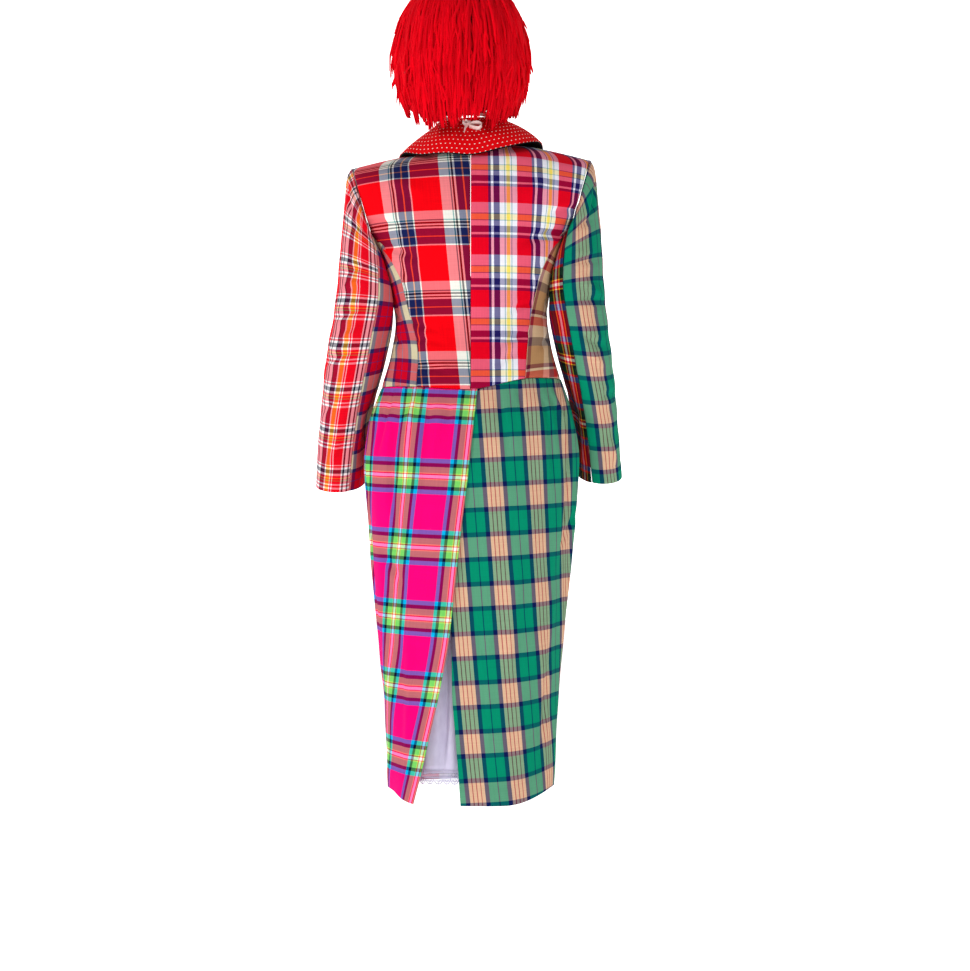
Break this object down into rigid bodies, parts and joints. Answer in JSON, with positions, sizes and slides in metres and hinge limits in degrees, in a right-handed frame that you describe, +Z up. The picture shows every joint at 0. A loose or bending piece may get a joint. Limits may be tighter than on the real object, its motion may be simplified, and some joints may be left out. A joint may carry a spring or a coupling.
{
  "type": "clown costume",
  "caption": "Patchwork plaid long coat with a dotted shawl collar, a lace-edged petticoat, a yarn wig and a neck ribbon, in their worn hollow shape.",
  "frame": {"origin": "where the wearer's neck passes through the coat, level with the inner ends of the shoulder seams", "axes": "+Z up, +Y towards the wearer's back, +X towards the wearer's left"},
  "size_m": [0.551, 0.2896, 1.464],
  "materials": {
    "scarlet_plaid": "woven cotton plaid, scarlet, white and navy",
    "rose_plaid": "woven cotton plaid, rose, white and navy with thin yellow and teal lines",
    "coral_check": "woven cotton check, coral and beige with navy lines",
    "tan_check": "woven cotton check, tan, cream and grey",
    "ivory_plaid": "woven cotton plaid, ivory, red and black with yellow lines",
    "green_check": "woven cotton check, emerald and peach with navy lines",
    "tartan": "woven cotton plaid, red, dark green and blue with thin yellow lines",
    "magenta_plaid": "woven cotton plaid, magenta, turquoise and black",
    "dotted_red": "smooth red cotton with small white dots",
    "black_felt": "black felt",
    "white_cotton": "white cotton lawn",
    "lace": "white cotton lace",
    "red_button": "glossy red",
    "red_yarn": "soft twisted yarn",
    "ribbon": "pale satin ribbon"
  },
  "bodies": {
    "root": {"back_left": "scarlet_plaid", "back_right": "rose_plaid", "side_left": "coral_check", "side_right": "tan_check", "front_left": "ivory_plaid", "front_right": "rose_plaid", "collar": "dotted_red", "under_collar": "black_felt", "sleeve_left_upper": "ivory_plaid", "sleeve_left_under": "coral_check", "sleeve_right_upper": "green_check", "sleeve_right_under": "tartan", "skirt_back_left": "magenta_plaid", "skirt_back_right": "green_check", "skirt_front_left": "scarlet_plaid", "skirt_front_right": "tartan", "button_1": "red_button", "button_2": "red_button", "button_3": "red_button", "petticoat": "white_cotton", "petticoat_waistband": "white_cotton", "petticoat_lace": "lace", "wig_crown": "red_yarn", "wig_yarn": "red_yarn", "wig_cap": "red_yarn", "neck_ribbon": "ribbon", "ribbon_bow": "ribbon"}
  },
  "joints": []
}
